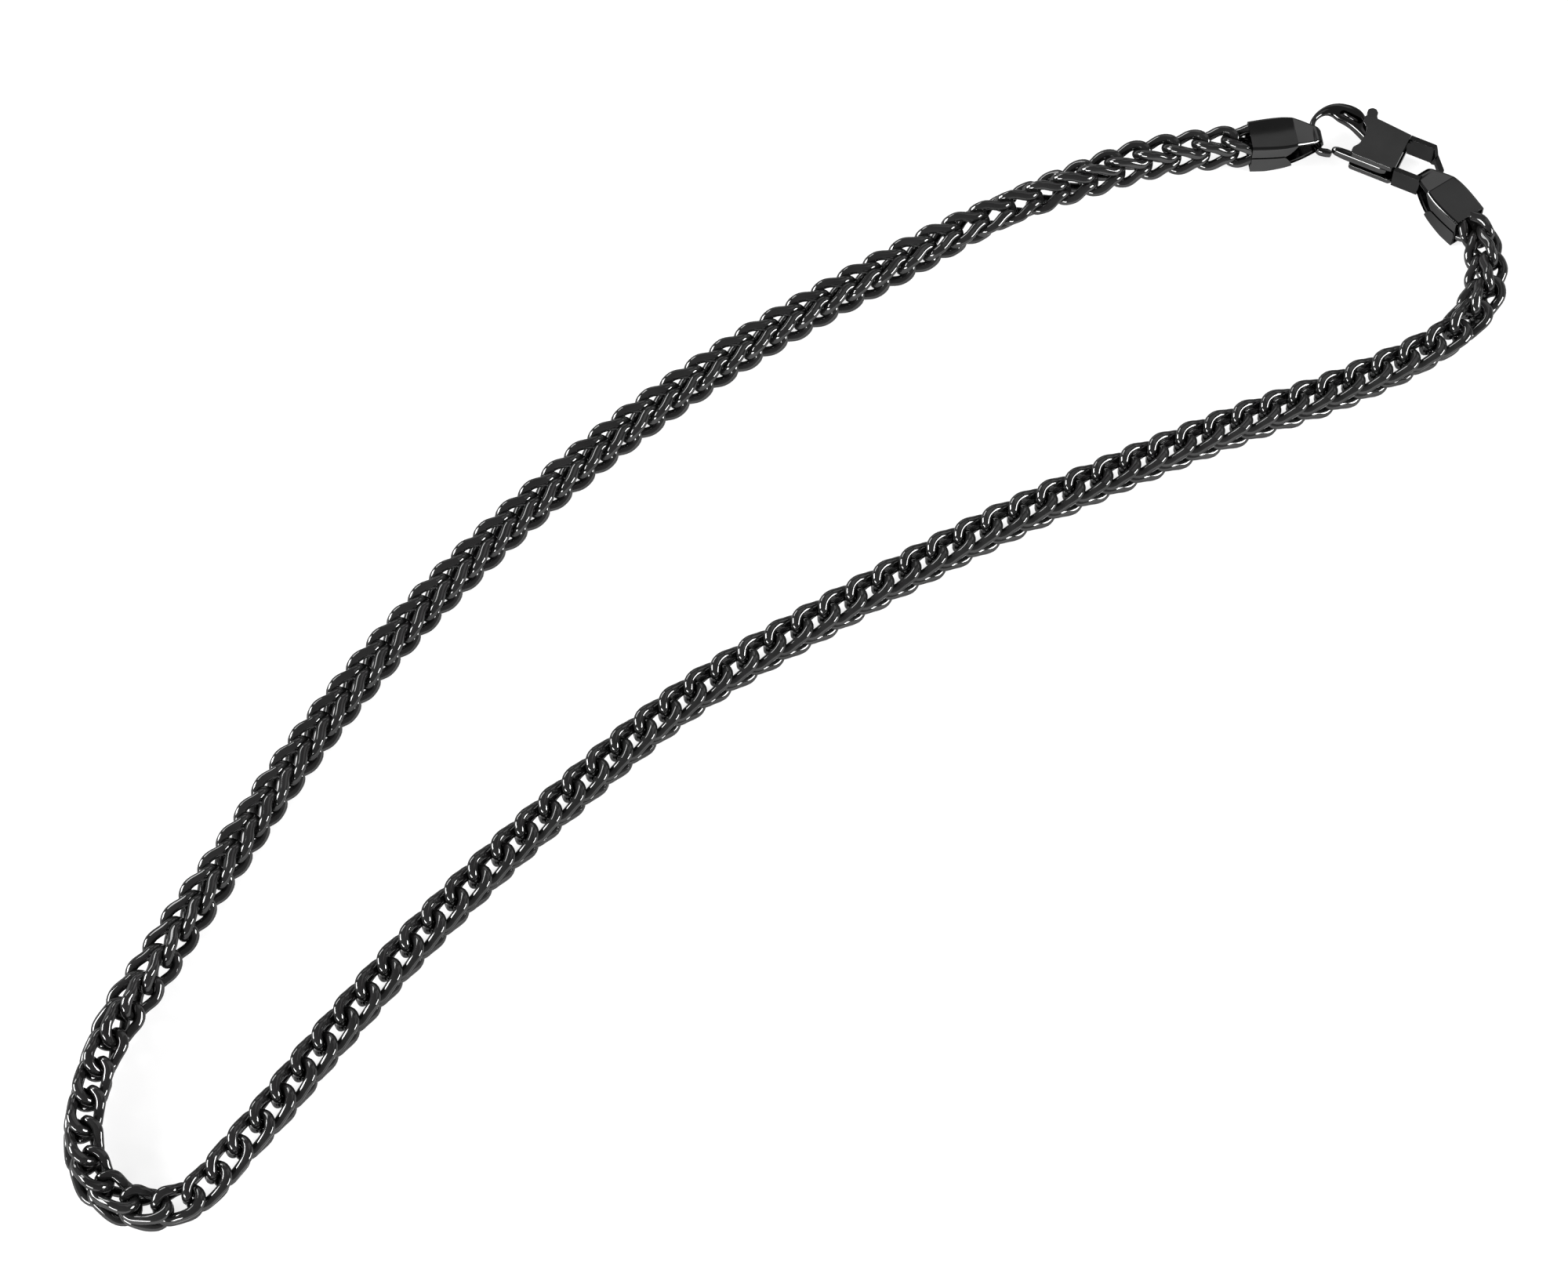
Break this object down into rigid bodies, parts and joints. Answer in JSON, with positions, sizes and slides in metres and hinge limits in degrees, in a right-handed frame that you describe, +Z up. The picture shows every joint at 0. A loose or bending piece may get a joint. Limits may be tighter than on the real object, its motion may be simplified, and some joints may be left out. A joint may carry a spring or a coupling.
{
  "type": "franco chain necklace",
  "caption": "Square-section franco chain necklace in polished black steel, lying in a loose loop, with folded end caps and a lobster clasp with a thumb lever.",
  "frame": {"origin": "middle of the footprint, on the surface that the necklace lies on", "axes": "+Z up, X along the loop's long way with the clasp at +X, Y across the loop"},
  "size_m": [0.282, 0.0756, 0.0076],
  "materials": {
    "link_steel": "black ion-plated steel wire, polished",
    "cap_steel": "black ion-plated steel strip, polished",
    "clasp_steel": "black ion-plated cast steel, polished"
  },
  "bodies": {
    "necklace": {"upper_chain": "link_steel", "lower_chain": "link_steel", "left_cap": "cap_steel", "right_cap": "cap_steel", "clasp_body": "clasp_steel", "clasp_tail_ring": "clasp_steel"},
    "lever": {"clasp_lever": "clasp_steel"}
  },
  "joints": [
    {"name": "lever_hinge", "type": "hinge", "parent": "necklace", "child": "lever", "pos_m": [0.13258, -0.00018, 0.0032], "axis": [0, 0, -1], "range_deg": [0, 18], "stiffness_Nm_per_rad": 0.002, "springref_deg": -20.05}
  ]
}
